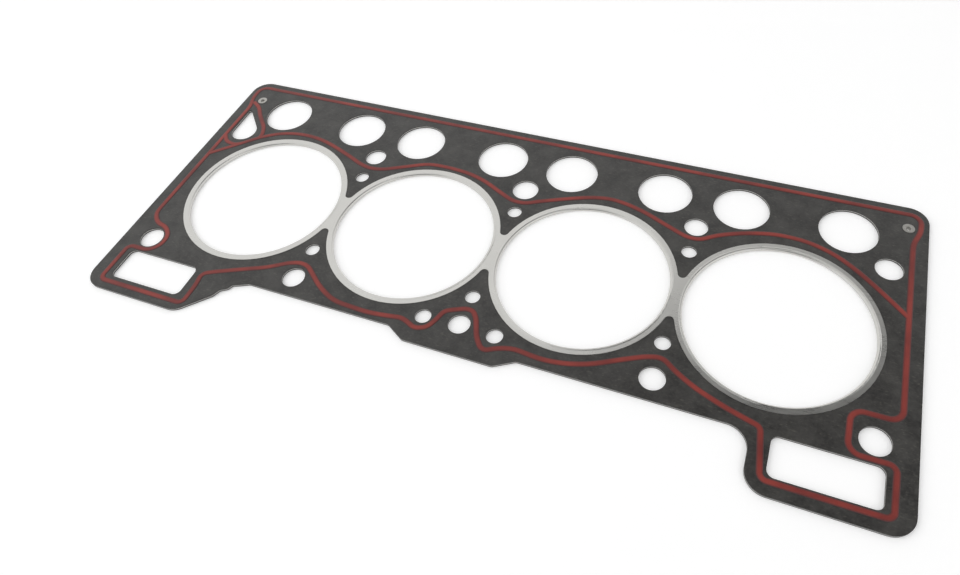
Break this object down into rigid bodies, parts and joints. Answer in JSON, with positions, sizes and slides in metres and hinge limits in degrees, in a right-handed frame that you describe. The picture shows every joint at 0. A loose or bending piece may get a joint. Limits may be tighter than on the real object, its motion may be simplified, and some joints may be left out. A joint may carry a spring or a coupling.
{
  "type": "cylinder head gasket",
  "caption": "Flat laminated head gasket with metal-edged cylinder bores in a row, bolt, tappet and coolant holes, and a printed sealing bead.",
  "frame": {"origin": "middle of the row of cylinder bores, at the height of the plane that the rolled bore edges rest on", "axes": "+X along the row of bores, away from the keyhole; +Y towards the tappet holes; +Z to the cylinder head"},
  "size_m": [0.3672, 0.1567, 0.002],
  "materials": {
    "facing": "matte dark grey compressed fibre, slightly rubbery",
    "core_steel": "cold-rolled sheet, hidden but for its cut edges",
    "armour_steel": "smooth bright pressed sheet",
    "wire_steel": "drawn wire, hidden",
    "bead": "satin dark red printed silicone",
    "eyelet_steel": "plain bright tube, turned over"
  },
  "bodies": {
    "root": {"facing_upper": "facing", "facing_lower": "facing", "steel_core": "core_steel", "bore_armour": "armour_steel", "stopper_wire_1": "wire_steel", "stopper_wire_2": "wire_steel", "stopper_wire_3": "wire_steel", "stopper_wire_4": "wire_steel", "bead_upper": "bead", "bead_lower": "bead", "eyelet_left": "eyelet_steel", "eyelet_right": "eyelet_steel"}
  },
  "joints": []
}
